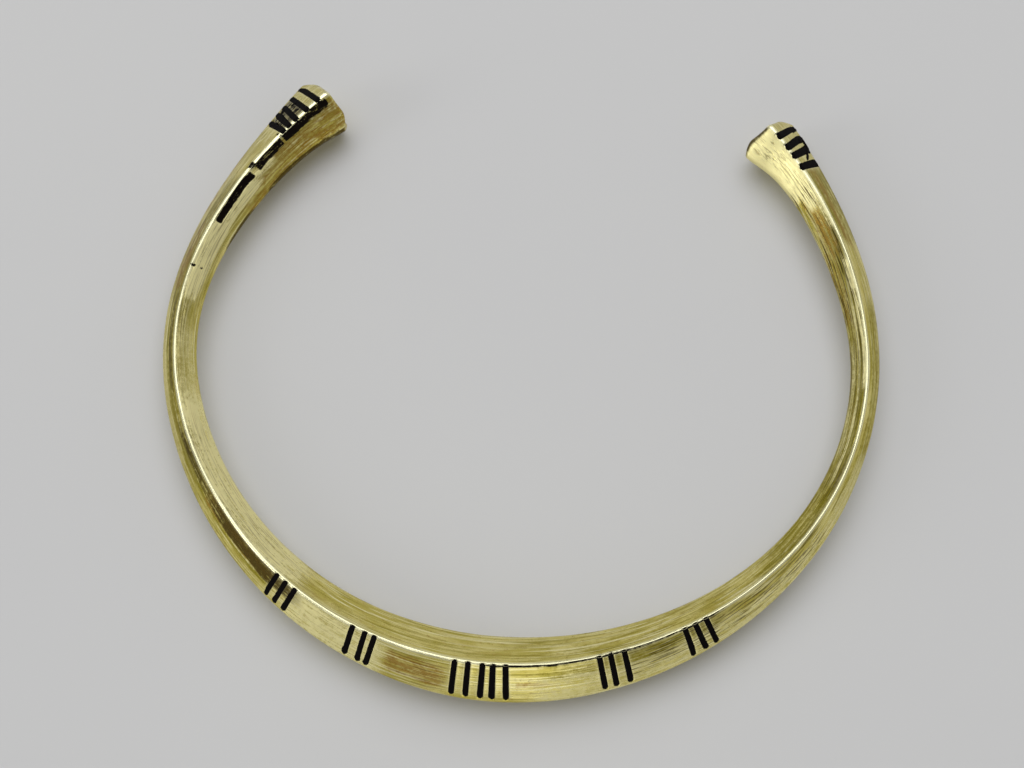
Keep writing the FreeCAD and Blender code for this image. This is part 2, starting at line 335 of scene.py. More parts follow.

# Where the surface has changed, and where shade and dark reflections are painted on: kind, first and last
# bar angle, place across from and to (-1 inner edge, 0 crest, 1 outer edge), how softly it fades along
# the bar in degrees, and strength. "scraped" is bare bright metal, "olive" and "brown" are tarnish,
# "dark" and the soot kind are stains, and "scratchy" is scored. Two "dark" patches along the inner lower
# edge are painted shade;
# the "olive", "brown" and "dark" patches beside the crest on the outer face at the left are partly
# tarnish and partly a painted dark reflection; one soot line beside the crest at the front right is a
# painted dark reflection.
PATCHES = [
    ("scraped", -84, -60, -0.85, -0.02, 6, 0.45),
    ("scraped", -97, -84, -0.50, 0.00, 3, 0.35),
    ("scraped", -70, -38, -0.95, -0.06, 9, 0.95),
    ("scraped", -120, -101, -0.52, -0.34, 3, 0.80),
    ("scraped", -114, -94, -0.66, -0.02, 5, 1.35),
    ("scraped", 125, 140, -1.05, 0.02, 4, 1.40),
    ("scraped", 122, 130, -0.62, 0.02, 4, 1.30),
    ("scraped", 116, 124, -0.20, 0.02, 3, 0.80),
    ("scraped", 70, 98, -0.56, -0.46, 5, 0.70),
    ("scraped", 88, 107, -0.30, -0.04, 5, 0.90),
    ("scraped", 74, 92, -0.88, -0.74, 4, 0.60),
    ("scraped", -32, -17, 0.10, 1.00, 3, 0.65),
    ("scraped", 10, 40, 0.45, 1.00, 5, 0.50),
    ("scraped", 100, 111, 0.10, 0.90, 4, 0.25),
    ("scraped", -84, -64, 0.70, 1.00, 5, 0.40),
    ("scraped", 40, 72, 0.50, 1.00, 6, 0.50),
    # These two darken the outer face beside the crest at the left: partly tarnish, partly a painted dark
    # reflection.
    ("olive", -78, -40, 0.06, 0.62, 6, 1.00),
    ("olive", -112, -78, 0.12, 0.60, 6, 0.85),
    ("olive", -74, -40, 0.60, 1.00, 5, 0.45),
    ("olive", 10, 112, -1.00, -0.14, 12, 0.35),
    ("olive", 54, 92, -0.95, -0.16, 10, 0.75),
    ("olive", 50, 84, -0.44, -0.10, 6, 0.85),
    ("olive", 113, 126, 0.15, 1.00, 3, 0.80),
    ("olive", 66, 98, 0.40, 1.00, 8, 0.68),
    ("olive", 12, 36, 0.05, 0.50, 6, 0.65),
    ("brown", -140, -112, -1.00, -0.24, 5, 0.62),
    ("olive", -140, -114, -1.00, -0.12, 4, 0.60),
    ("brown", 111, 121, -0.82, -0.22, 4, 0.62),
    ("brown", 98, 110, -1.00, -0.60, 4, 0.50),
    ("brown", -14, -7, 0.30, 0.78, 3, 0.75),
    ("brown", -104, -94, 0.25, 0.80, 3, 0.60),
    ("brown", -119, -108, 0.80, 1.05, 3, 0.60),
    # partly tarnish, partly a painted dark reflection beside the crest at the left
    ("brown", -54, -37.5, 0.05, 0.55, 4, 0.70),
    ("brown", 112, 126, 0.35, 0.60, 4, 0.60),
    ("brown", 132, 140, -0.75, -0.45, 2, 0.70),
    # These three darken the outer face beside the crest at the left: partly stain, partly a painted dark
    # reflection.
    ("dark", -50, -37.4, 0.04, 0.50, 9, 1.35),
    ("dark", -66, -50, 0.06, 0.42, 6, 0.80),
    ("dark", -90, -76, 0.26, 0.42, 5, 0.55),
    # These two are painted shade: a dark line along the inner lower edge, where the underside lies in
    # shade near the floor.
    ("dark", -134.5, -104, -1.30, -1.00, 3, 1.60),
    ("dark", 84, 104, -1.10, -0.94, 6, 0.50),
    ("dark", 136.4, 140, -1.10, -0.10, 0.3, 1.40),
    ("dark", -131.2, -126.4, 0.14, 0.95, 0.4, 1.00),
    ("soot_and_dark_reflection", -130.8, -126.6, 0.20, 0.80, 0.4, 0.62),
    # painted dark reflection: a thin black line just outside the crest on the outer face at the front
    # right
    ("soot_and_dark_reflection", 2, 38, 0.04, 0.08, 4, 0.95),
    ("brown", 5.4, 7.3, 0.50, 0.60, 0.5, 0.60),
    ("brown", 7.9, 10.4, 0.52, 0.60, 0.5, 0.60),
    ("soot_and_dark_reflection", -118.2, -117.0, -0.12, 0.14, 0.3, 1.00),
    ("soot_and_dark_reflection", -125.2, -124.8, -0.10, 0.12, 0.2, 0.90),
    ("soot_and_dark_reflection", -97.1, -96.7, -0.18, -0.03, 0.2, 1.10),
    ("soot_and_dark_reflection", -97.0, -96.8, -0.50, -0.44, 0.2, 0.90),
    ("soot_and_dark_reflection", 20.0, 20.6, -0.12, -0.02, 0.2, 0.80),
    ("scratchy", 98, 123, -0.95, -0.12, 4, 1.00),
    ("scratchy", 126, 136, -0.75, -0.30, 2, 0.55),
    ("scratchy", 66, 100, -0.95, -0.20, 6, 0.60),
    ("scratchy", -14, -6, 0.20, 0.90, 2, 0.40),
    ("scratchy", -112, -84, -0.85, -0.05, 5, 0.38),
    ("scratchy", -66, -34, -0.80, -0.08, 5, 0.32),
    ("scratchy", 24, 58, 0.15, 0.80, 4, 0.85),
    ("scratchy", -112, -92, 0.15, 0.85, 4, 0.50),
]
PATCH_KINDS = ("scraped", "olive", "brown", "dark", "soot_and_dark_reflection", "scratchy")
PATCH_EDGE = 0.10       # how softly a patch fades across the section
PATCH_EDGE_EXTRA = 0.02     # a narrow patch fades over half its width and this
PATCH_SHIFT = 0.06      # how far its long edges waver
HIGH = 10.0             # above every point of the section


def window(values, low, high, soft):
    """1 between low and high, fading to 0 over a soft distance outside them."""
    rise = np.clip((values - low) / soft + 1, 0, 1)
    fall = np.clip((high - values) / soft + 1, 0, 1)
    return rise * rise * (3 - 2 * rise) * fall * fall * (3 - 2 * fall)


def line_half_width(group):
    """Half the width of a group's lines; the ones at the ends were cut broader."""
    return LINE_HALF_WIDTHS.get(group, USUAL_HALF_WIDTH)


class Surface:
    """Coordinates of every point of the swept bar, for the marks cut or worn into it and the shade
    painted on it.

    along and across are distances from the front's middle and from the crest, height is above the middle
    plane, reach is the place across as a share of the face's width, upper is 1 on the upper faces, and
    from_land is the distance from the edge of the crest's worn land.
    """

    def __init__(self, angle, turned, points):
        crest = (cad_crest_radius(angle) + crest_wander(angle))[:, None]
        outer = outer_radius(angle)[:, None]
        inner = inner_radius(angle)[:, None]
        self.angle = angle[:, None] + 0 * turned
        self.along = np.radians(turned) * crest
        self.across = points[..., 0] - crest
        self.height = points[..., 1]
        self.width = np.where(self.across > 0, outer - crest, crest - inner)
        self.reach = self.across / self.width
        self.upper = window(self.height, 0.0, HIGH, UPPER_SOFT)
        self.from_land = np.abs(self.across) - crest_land(angle)[:, None] / 2
        self.crest = crest

    def gap_to(self, angle):
        """Distance along the bar from a bar angle, in millimetres, before any lean."""
        return np.radians(self.angle - angle) * self.crest


def line_cuts(surface):
    """Depth of the cut lines, and how near each point is to a line's raised edge."""
    depth = np.zeros_like(surface.across)
    near = np.zeros_like(surface.across)
    for group, (start, stop), lines in LINE_GROUPS:
        for angle, _ in lines:
            off = np.abs(surface.gap_to(angle)) / line_half_width(group)
            reach = window(surface.reach, start + LINE_ENDS[0], stop + LINE_ENDS[1], LINE_END_SOFT)
            reach = reach * surface.upper
            depth = np.maximum(depth, np.sqrt(np.clip(1 - off ** 4, 0, 1)) * reach)
            near = np.maximum(near, np.exp(-((off - RAISED_PLACE) / RAISED_WIDTH) ** 2) * reach)
    return depth * LINE_DEPTH, near


def dents(surface):
    """Depth of the dents."""
    depth = np.zeros_like(surface.across)
    for angle, reach, length, width, deep in DENTS:
        along = surface.gap_to(angle) / length
        across = (surface.reach - reach) * surface.width / width
        depth += deep * np.exp(-(along ** 2 + across ** 2)) * surface.upper
    return depth


def channels(surface):
    """How strongly each point lies in the filed channel inside the crest, from 0 to 1."""
    strength = np.zeros_like(surface.across)
    wobble = CHANNEL_WOBBLE * noise(surface.along / 0.9, 0 * surface.along, 40, 3)
    off = (surface.from_land + wobble - CHANNEL_PLACE) / CHANNEL_WIDTH
    for low, high in CHANNELS:
        along = window(surface.angle, low, high, CHANNEL_SOFT)
        strength = np.maximum(strength, along * np.exp(-off ** 6))
    return strength * surface.upper * (surface.across < 0)


def patches(surface, kind):
    """How strongly each point has changed in one way, or is painted with shade or a dark reflection: 0
    not at all, 1 or more fully.
    """
    strength = np.zeros_like(surface.across)
    for number, (name, first, last, low, high, soft, amount) in enumerate(PATCHES):
        if name == kind:
            shift = PATCH_SHIFT * noise(surface.along / 2.5, 0 * surface.along, 80 + number, 2)
            edge = min(PATCH_EDGE, (high - low) / 2 + PATCH_EDGE_EXTRA)
            across = window(surface.reach + shift * edge / PATCH_EDGE, low, high, edge)
            strength = np.maximum(strength, amount * window(surface.angle, first, last, soft) * across)
    return strength * window(surface.height, PATCH_LOW, HIGH, PATCH_LOW_SOFT)


# ---------------------------------------------------------------- the bar's mesh

RING_STEP = 0.45        # degrees between rings
LINE_RING_REACH = 0.72  # degrees on each side of a line where they stand closer
LINE_RING_STEP = 0.11
RING_GAP = 0.05         # rings closer than this are one ring
RIM = 0.62              # rounding of the ends' rims
RIM_ANGLE = math.degrees(RIM / HOOP_RADIUS)
RIM_GAP = 0.15          # degrees between the last ring along the bar and the first of its rim
RIM_RINGS = 6
FACE_RINGS = 9
FACE_HALF = 3.0         # half the width of an end face, roughly
FACE_MIDDLE = 0.04      # share of the section left at the last ring, which a fan of triangles closes
DOME = 0.10             # how far the middle of an end face stands proud of its rim
RELIEF_DROP = 0.075     # how far the worn surface lies inside the frame's outline
RELIEF_FADE = 2.0       # how far from the ends the relief dies out, in degrees
# How far the outer and inner edges of each end reach past its crest, and how far its outer and inner
# corners are rounded back: the left end, then the right.
END_SWELL = ((0.15, 0.55), (0.35, 0.95))
END_CORNER = ((1.00, 0.85), (0.95, 0.80))
CORNER_START = 0.6      # place across where a corner's rounding starts
SWELL_LENGTH = 4.4      # how far from the ends the swelling starts, in degrees


def ring_angles():
    """Bar angles of the mesh's rings: evenly spaced, and close together across every line."""
    last = END_ANGLE - RIM_ANGLE - RIM_GAP
    rings = list(np.arange(-last, last, RING_STEP))
    for angle, _ in ALL_LINES:
        rings = [ring for ring in rings if abs(ring - angle) > LINE_RING_REACH]
    close = np.arange(-LINE_RING_REACH, LINE_RING_REACH, LINE_RING_STEP)
    for angle, _ in ALL_LINES:
        rings += list(angle + close)
    rings = np.unique(np.round(sorted(rings), 3))
    keep = np.concatenate([[True], np.diff(rings) > RING_GAP])
    return rings[keep & (np.abs(rings) < last)]


def end_rings(side):
    """The rings that round off and close one end: bar angles, and how much the section shrinks."""
    turn = np.linspace(0, math.pi / 2, RIM_RINGS)
    advance = list(RIM * (np.sin(turn) - 1))
    scale = list(1 - RIM * (1 - np.cos(turn)) / FACE_HALF)
    shrink = np.linspace(scale[-1], FACE_MIDDLE, FACE_RINGS)[1:]
    scale += list(shrink)
    advance += list(DOME * (1 - (shrink / scale[RIM_RINGS - 1]) ** 2))
    angles = side * (END_ANGLE + np.degrees(np.array(advance) / HOOP_RADIUS))
    return angles, np.array(scale)


def bar_grid():
    """Bar angle and scale of every ring from the left end's middle to the right end's."""
    middle = ring_angles()
    left, left_scale = end_rings(-1)
    right, right_scale = end_rings(1)
    angles = np.concatenate([left[::-1], middle, right])
    scale = np.concatenate([left_scale[::-1], np.ones(len(middle)), right_scale])
    return angles, scale


def grid_normals(grid):
    """Outward unit normals of a grid of positions that closes on itself across the rings."""
    along = np.gradient(grid, axis=0)
    round_it = np.roll(grid, -1, axis=1) - np.roll(grid, 1, axis=1)
    normal = np.cross(round_it, along)
    length = np.linalg.norm(normal, axis=-1, keepdims=True)
    return normal / np.maximum(length, 1e-9)


def make_object(name, points, faces, material):
    """A smooth-shaded mesh object from points in millimetres."""
    mesh = bpy.data.meshes.new(name)
    mesh.from_pydata((np.asarray(points) * MM).tolist(), [], faces)
    mesh.shade_smooth()
    mesh.materials.append(material)
    thing = bpy.data.objects.new(name, mesh)
    bpy.context.scene.collection.objects.link(thing)
    return thing


def add_attribute(mesh, name, values):
    """Store one value or vector per point for the materials."""
    values = np.asarray(values, np.float32)
    if values.ndim == 2:
        layer = mesh.attributes.new(name, "FLOAT_VECTOR", "POINT")
        layer.data.foreach_set("vector", values.ravel())
    else:
        layer = mesh.attributes.new(name, "FLOAT", "POINT")
        layer.data.foreach_set("value", values.ravel())


def swell(angle, points):
    """Extra bar angle near the ends, where the edges of the section reach past its crest."""
    nearness = np.clip((np.abs(angle) - END_ANGLE + SWELL_LENGTH) / SWELL_LENGTH, 0, 1) ** 2
    crest = cad_crest_radius(angle)
    outer = outer_radius(angle)
    inner = inner_radius(angle)
    half = (outer - inner) / 2
    off = points[..., 0] - crest
    place_across = np.clip(off / np.where(off > 0, outer - crest, crest - inner), -1, 1)
    bulge = np.clip(1 - (points[..., 1] / half) ** 2, 0, 1)
    reach = 0
    for way, grows, cuts in zip((1, -1), zip(*END_SWELL), zip(*END_CORNER)):
        over = np.clip(way * place_across, 0, 1)
        grow = np.where(angle < 0, *grows)
        cut = np.where(angle < 0, *cuts)
        corner = np.clip(over - CORNER_START, 0, 1) / (1 - CORNER_START)
        reach = reach + grow * over * bulge - cut * corner ** 2
    return np.sign(angle) * np.degrees(nearness * reach / crest)


FORGED = 0.016          # height of the long bumps left by forging
FILED = 0.006           # height of the short ones left by filing
CAP = 0.02              # height of the end faces' bumps
LINE_RAISED = 0.010     # how far the metal is pushed up beside a line
RESTING = 0.3           # the underside has no relief up to this height above the floor
POLISH_WIDTH = 0.09     # how far the crest's polish fades down the faces


def relief_of(surface, angle, scale, near_line, carved):
    """How far every point stands out from the smooth section: forged and filed bumps, less the marks."""
    along, across, height = surface.along, surface.across, surface.height
    forged = FORGED * (noise(along / 7, across / 5, 11) + noise(along / 9, height / 5, 12))
    filed = FILED * (noise(along / 2.2, across / 0.9, 21) + noise(along / 2.6, height / 0.9, 22))
    cap = CAP * noise(across / 1.3, height / 1.3, 31, 2)
    from_end = np.clip((END_ANGLE - RIM_ANGLE - np.abs(angle)) / RELIEF_FADE, 0, 1)[:, None]
    relief = (forged + filed) * from_end + cap * (1 - scale)[:, None]
    relief = relief - RELIEF_DROP + LINE_RAISED * near_line - carved
    return relief * (height > -MID_HEIGHT + RESTING)


def closed_tube(grid):
    """Points and faces of a grid of rings, closed at each end by a fan round one middle point."""
    rings, across = grid.shape[:2]
    poles = np.stack([grid[0].mean(0), grid[-1].mean(0)])
    index = np.arange(rings * across).reshape(rings, across)
    following = np.roll(index, -1, axis=1)
    quads = np.stack([index[:-1], following[:-1], following[1:], index[1:]], -1).reshape(-1, 4)
    first_pole = rings * across
    fans = [[first_pole, int(b), int(a)] for a, b in zip(index[0], following[0])]
    fans += [[first_pole + 1, int(a), int(b)] for a, b in zip(index[-1], following[-1])]
    return np.concatenate([grid.reshape(-1, 3), poles]), quads.tolist() + fans


def with_poles(values):
    """The values of a closed tube's grid, with those of its two middle points at the end."""
    flat = values.reshape(-1, *values.shape[2:])
    return np.concatenate([flat, flat[:1], flat[-1:]])


def make_bar(material):
    """The whole brass bar: swept section, file marks, dents, cut lines and rounded ends."""
    angle, scale = bar_grid()
    on_bar = np.clip(angle, -END_ANGLE, END_ANGLE)
    turned, points = leaned(on_bar)
    turned = turned + (angle - on_bar)[:, None]
    turned = turned + swell(on_bar[:, None], points) * scale[:, None]
    pivot = np.stack([cad_crest_radius(angle), 0 * angle], -1)[:, None, :]
    points = pivot + (points - pivot) * scale[:, None, None]
    grid = place(turned, points)
    surface = Surface(on_bar, turned, points)

    cut, near_line = line_cuts(surface)
    channel = channels(surface)
    carved = cut + dents(surface) + CHANNEL_DEPTH * channel
    relief = relief_of(surface, angle, scale, near_line, carved)
    grid = grid + grid_normals(grid) * relief[..., None]
    bar = make_object("brass_bar", *closed_tube(grid), material)

    polish = np.exp(-(np.clip(surface.from_land, 0, None) / POLISH_WIDTH) ** 2) * surface.upper
    coordinates = np.stack([surface.along, surface.across, surface.height], -1)
    stored = {"bar": coordinates, "channel": channel, "near_line": near_line, "polish": polish}
    for kind in PATCH_KINDS:
        stored[kind] = patches(surface, kind)
    for name, values in stored.items():
        add_attribute(bar.data, name, with_poles(values))
    return bar


# ---------------------------------------------------------------- the black filling

FILL_THICKNESS = 0.15
LINE_PLACES = (30, 9)   # points along a filled line and across it
LINE_TIP = (15, 0.10)   # how squarely a line ends, and how narrow its tip is
LINE_RAGGED = 0.26      # how far its edges waver, as a share of its width
LINE_DRIFT = 0.03       # how far its middle wavers
LINE_BUMPS = 0.008      # how uneven its top is
LINE_CROWN = 0.012      # how much lower its edges are
SMEAR_PLACES = (22, 7)
SMEAR_TIP = (6, 0.06)
SMEAR_RAGGED = 0.35
SMEAR_LIFT = 0.055      # how far a smear stands on the face
SMEAR_CROWN = 0.04      # how much lower its edges are

# Strokes where the filling was smeared over the face from one line to the next: group, then the bar angle
# and the place over the face (0 crest, 1 outer edge) at both ends, and half the width.
SMEARS = [
    ("right_end", (128.3, 0.45), (130.3, 0.80), 0.12),
    ("right_end", (130.5, 0.90), (132.9, 0.90), 0.20),
    ("right_end", (131.9, 0.70), (132.9, 0.82), 0.16),
    ("left_end", (-131.9, 0.55), (-130.9, 0.62), 0.12),
    ("left_end", (-129.9, 0.80), (-129.2, 0.72), 0.14),
]


def outward_face(turn, over, lift):
    """Positions on the outward upper face at bar angles and places over it, raised by a lift."""
    crest, edge = [np.stack(corner, -1) for corner in section_corners(turn)[:2]]
    run = edge - crest
    down = np.clip(over, 0, None)
    bulge = SIDES["outward_upper"][0] * 4 * down * (1 - down)
    rounding = CORNERS["outer"][0]
    from_edge = np.linalg.norm(run, axis=-1) * np.clip(1 - over, 0, 1)
    dip = rounding * np.clip(1 - np.sqrt(from_edge / rounding), 0, 1) ** 2
    raised = outward_of(run) * (bulge + lift - dip - RELIEF_DROP)[..., None]
    points = crest + run * np.stack([over, down], -1) + raised
    return place(turn + swell(turn, points), points)


def closed_strip(turn, over, top, thickness, base):
    """Points and faces of a thin closed solid that covers a grid of places on the outward face."""
    rows, columns = turn.shape
    count = rows * columns
    points = np.concatenate([
        outward_face(turn, over, top).reshape(-1, 3),
        outward_face(turn, over, top * 0 - thickness).reshape(-1, 3),
    ])
    index = base + np.arange(count).reshape(rows, columns)
    under = index + count
    upper = np.stack([index[:-1, :-1], index[1:, :-1], index[1:, 1:], index[:-1, 1:]], -1)
    lower = np.stack([under[:-1, :-1], under[:-1, 1:], under[1:, 1:], under[1:, :-1]], -1)
    rim = [int(i) for i in [*index[0], *index[1:, -1], *index[-1, -2::-1], *index[-2:0:-1, 0]]]
    faces = upper.reshape(-1, 4).tolist() + lower.reshape(-1, 4).tolist()
    faces += [[a, b, b + count, a + count] for a, b in zip(rim, rim[1:] + rim[:1])]
    return points.tolist(), faces


def line_grid(reach, angle, lean, half_width, seed):
    """Bar angles and places over the face of one filled line, ragged at its edges, and its uneven top."""
    steps, columns = LINE_PLACES
    sharpness, narrowest = LINE_TIP
    over, side = np.meshgrid(np.linspace(*reach, steps), np.linspace(-1, 1, columns), indexing="ij")
    middle = 2 * (over - reach[0]) / (reach[1] - reach[0]) - 1
    tip = np.clip(1 - np.abs(middle) ** sharpness, narrowest, 1) ** 0.5
    ragged = 1 + LINE_RAGGED * noise(over * 13, seed + 0.4 * np.sign(side), 50, 3)
    drift = LINE_DRIFT * noise(over * 3, seed + 0.5 + 0 * over, 60)
    offset = half_width * ragged * tip * side + drift
    turn = angle + lean * over + np.degrees(offset / cad_crest_radius(angle))
    top = LINE_BUMPS * noise(turn * 4, over * 14, 70, 2) - LINE_CROWN * side ** 2
    return turn, over, top


def smear_grid(start, stop, half_width, seed):
    """Bar angles and places over the face of a smeared stroke, and its rounded top."""
    steps, columns = SMEAR_PLACES
    sharpness, narrowest = SMEAR_TIP
    run, side = np.meshgrid(np.linspace(0, 1, steps), np.linspace(-1, 1, columns), indexing="ij")
    radius = float(cad_crest_radius(start[0]))
    width = float(outer_radius(start[0])) - radius
    step = np.array([np.radians(stop[0] - start[0]) * radius, (stop[1] - start[1]) * width])
    normal = np.array([step[1], -step[0]]) / np.linalg.norm(step)
    ragged = 1 + SMEAR_RAGGED * noise(run * 7, seed + 0.4 * np.sign(side), 90, 2)
    tip = np.clip(1 - np.abs(2 * run - 1) ** sharpness, narrowest, 1) ** 0.5
    offset = half_width * ragged * tip * side
    turn = start[0] + (stop[0] - start[0]) * run + np.degrees(normal[0] * offset / radius)
    over = start[1] + (stop[1] - start[1]) * run + normal[1] * offset / width
    return turn, over, SMEAR_LIFT - SMEAR_CROWN * side ** 2 + 0 * run


def make_fill(group, reach, lines, seed, material):
    """The black filling of one group of lines, with the strokes smeared between them."""
    grids = []
    for number, (angle, lean) in enumerate(lines):
        grids.append(line_grid(reach, angle, lean, line_half_width(group), 10 * seed + number))
    for number, (name, start, stop, half_width) in enumerate(SMEARS):
        if name == group:
            grids.append(smear_grid(start, stop, half_width, number))
    points = []
    faces = []
    for turn, over, top in grids:
        more_points, more_faces = closed_strip(turn, over, top, FILL_THICKNESS, len(points))
        points += more_points
        faces += more_faces
    return make_object(f"{group}_filling", points, faces, material)


# ---------------------------------------------------------------- materials

class Nodes:
    """A short way to build a node tree."""

    def __init__(self, name):
        self.material = bpy.data.materials.new(name)
        self.material.use_nodes = True
        self.tree = self.material.node_tree
        self.shader = self.tree.nodes["Principled BSDF"]

    def add(self, kind, inputs=(), **settings):
        """A node with its settings and its inputs, each a value or another node's output."""
        node = self.tree.nodes.new(kind)
        for key, value in settings.items():
            setattr(node, key, value)
        for key, value in dict(inputs).items():
            if isinstance(value, bpy.types.NodeSocket):
                self.tree.links.new(value, node.inputs[key])
            else:
                node.inputs[key].default_value = value
        return node

    def drive(self, key, socket):
        """Lead an output into one of the shader's inputs."""
        self.tree.links.new(socket, self.shader.inputs[key])

    def attribute(self, name, output="Fac"):
        """A value stored on the mesh."""
        return self.add("ShaderNodeAttribute", attribute_name=name).outputs[output]

    def stretched_noise(self, vector, scale, detail, roughness):
        """Noise over a mesh's coordinates, drawn out by a scale for each direction."""
        mapped = self.add("ShaderNodeMapping", {"Vector": vector, "Scale": scale})
        made = self.add("ShaderNodeTexNoise", {"Vector": mapped.outputs[0], "Scale": 1.0,
                                               "Detail": detail, "Roughness": roughness})
        return made.outputs["Fac"]

    def span(self, value, low, high, to_low=0.0, to_high=1.0):
        """Map a value from one range to another, held at both ends."""
        made = self.add("ShaderNodeMapRange", {"Value": value, "From Min": low, "From Max": high,
                                               "To Min": to_low, "To Max": to_high})
        return made.outputs["Result"]

    def mix(self, factor, first, second):
        """Mix two colours."""
        made = self.add("ShaderNodeMix", {0: factor, 6: first, 7: second}, data_type="RGBA")
        return made.outputs[2]

    def math(self, operation, first, second):
        """Work out one value from two."""
        return self.add("ShaderNodeMath", {0: first, 1: second}, operation=operation).outputs[0]


BRASS_CLEAN = (0.82, 0.72, 0.25, 1)
BRASS_WORN = (0.62, 0.53, 0.12, 1)
BRASS_OLIVE = (0.30, 0.25, 0.015, 1)
BRASS_BROWN = (0.40, 0.23, 0.04, 1)
BRASS_BRIGHT = (0.96, 0.88, 0.44, 1)
BRASS_POLISHED = (0.97, 0.93, 0.58, 1)
BRASS_DARK = (0.075, 0.050, 0.010, 1)
# black of soot and of the channel's stain, also used for a painted dark reflection beside the crest
SOOT_AND_DARK_REFLECTION = (0.012, 0.009, 0.007, 1)
BLACK_DEEP = (0.0008, 0.0006, 0.0006, 1)
BLACK_WORN = (0.004, 0.0025, 0.0025, 1)
FLOOR_COOL = (0.582, 0.582, 0.586, 1)
FLOOR_WARM = (0.620, 0.620, 0.615, 1)


def brass_material():
    """Hand-filed brass: file marks, patchy tarnish, a bright worn crest, stain in the channel, and
    painted shade, dark reflections and highlights.
    """
    n = Nodes("brass_filed")
    bar = n.attribute("bar", "Vector")
    patchy = n.stretched_noise(bar, (0.25, 0.9, 0.9), 4.0, 0.6)
    specks = n.stretched_noise(bar, (2.2, 3.0, 3.0), 4.0, 0.65)
    streaks = n.stretched_noise(bar, (0.12, 5.0, 5.0), 4.0, 0.65)
    scratches = n.stretched_noise(bar, (0.15, 9.0, 9.0), 2.0, 0.6)
    hairlines = n.stretched_noise(bar, (0.05, 6.5, 6.5), 1.5, 0.5)
    texture = n.math("ADD", n.math("MULTIPLY", streaks, 0.6), n.math("MULTIPLY", specks, 0.4))
    breakup = n.span(texture, 0.4, 0.6, 0.45, 1.55)

    def patch_strength(name, low, high):
        """A patch whose edge is broken up by the texture."""
        return n.span(n.math("MULTIPLY", n.attribute(name), breakup), low, high)

    scraped = patch_strength("scraped", 0.25, 0.85)
    scored = n.math("MULTIPLY", n.span(scratches, 0.52, 0.59), n.attribute("scratchy"))
    # soot and the channel's stain, with one painted dark reflection beside the crest at the front right
    dark = n.math("MAXIMUM", patch_strength("soot_and_dark_reflection", 0.45, 0.85), patch_strength("channel", 0.25, 0.6))
    coats = [
        (n.span(patchy, 0.42, 0.58), BRASS_CLEAN),
        (n.span(streaks, 0.50, 0.64, 0.0, 0.6), BRASS_OLIVE),
        (n.span(specks, 0.58, 0.72, 0.0, 0.5), BRASS_BROWN),
        (n.span(hairlines, 0.57, 0.63, 0.0, 1.0), BRASS_BRIGHT),
        # tarnish; beside the crest at the left these coats are partly a painted dark reflection
        (n.math("MULTIPLY", patch_strength("olive", 0.25, 0.95), 0.85), BRASS_OLIVE),
        (n.math("MULTIPLY", patch_strength("brown", 0.30, 0.95), 0.85), BRASS_BROWN),
        (scraped, BRASS_BRIGHT),
        (n.span(scratches, 0.60, 0.68, 0.0, 0.30), BRASS_BROWN),
        # painted highlight: the raised metal beside each line is coloured brighter
        (n.math("MULTIPLY", n.attribute("near_line"), 0.4), BRASS_BRIGHT),
        (n.math("MULTIPLY", scored, 0.85), BRASS_DARK),
        # dark stains, with painted shade along the inner lower edge and partly a painted dark reflection
        # beside the crest at the left
        (n.math("MULTIPLY", patch_strength("dark", 0.20, 1.0), 0.90), BRASS_DARK),
        (n.attribute("polish"), BRASS_POLISHED),
        (dark, SOOT_AND_DARK_REFLECTION),
    ]
    colour = BRASS_WORN
    for strength, coat in coats:
        colour = n.mix(strength, colour, coat)
    n.drive("Base Color", colour)

    rough = n.span(streaks, 0.35, 0.65, 0.13, 0.28)
    rough = n.math("ADD", rough, n.span(specks, 0.5, 0.75, 0.0, 0.15))
    rough = n.math("ADD", rough, n.math("MULTIPLY", scraped, 0.20))
    rough = n.math("SUBTRACT", rough, n.math("MULTIPLY", n.attribute("polish"), 0.08))
    rough = n.math("ADD", rough, n.math("MULTIPLY", dark, 0.45))
    n.drive("Roughness", rough)

    height = n.math("ADD", n.math("MULTIPLY", streaks, 0.6), n.math("MULTIPLY", scratches, 0.12))
    bump = n.add("ShaderNodeBump", {"Height": height, "Strength": 0.38, "Distance": 0.00006})
    pits = n.add("ShaderNodeBump", {"Height": specks, "Strength": 0.08, "Distance": 0.00008,
                                    "Normal": bump.outputs["Normal"]})
    n.drive("Normal", pits.outputs["Normal"])
    n.shader.inputs["Metallic"].default_value = 1.0
    return n.material


def fill_material():
    """Black filling: matte, with a fine grain."""
    n = Nodes("black_filling")
    place_of = n.add("ShaderNodeTexCoord").outputs["Object"]
    grain = n.stretched_noise(place_of, (9000, 9000, 9000), 3.0, 0.6)
    n.drive("Base Color", n.mix(grain, BLACK_DEEP, BLACK_WORN))
    n.drive("Roughness", n.span(grain, 0.3, 0.7, 0.65, 0.85))
    bump = n.add("ShaderNodeBump", {"Height": grain, "Strength": 0.4, "Distance": 0.00003})
    n.drive("Normal", bump.outputs["Normal"])
    n.shader.inputs["Specular IOR Level"].default_value = 0.06
    return n.material


def floor_material():
    """Pale matte floor, a little cloudy."""
    n = Nodes("pale_floor")
    place_of = n.add("ShaderNodeTexCoord").outputs["Object"]
    cloud = n.stretched_noise(place_of, (14, 14, 14), 4.0, 0.55)
    n.drive("Base Color", n.mix(cloud, FLOOR_COOL, FLOOR_WARM))
    n.shader.inputs["Roughness"].default_value = 0.6
    return n.material


# ---------------------------------------------------------------- stage, lights and camera

FLOOR_HALF_SIZE = 1500.0
LIGHT_DISTANCE = 900.0

# Soft round lights: name, direction from the hoop's centre, half the angle each fills, and radiance.
LIGHTS = [
    ("overhead", (-0.05, 0.34, 0.94), 36, 1.35),
    ("front", (0.05, -0.93, 0.36), 16, 0.62),
    ("window", (-0.83, -0.39, 0.41), 12, 2.6),
]


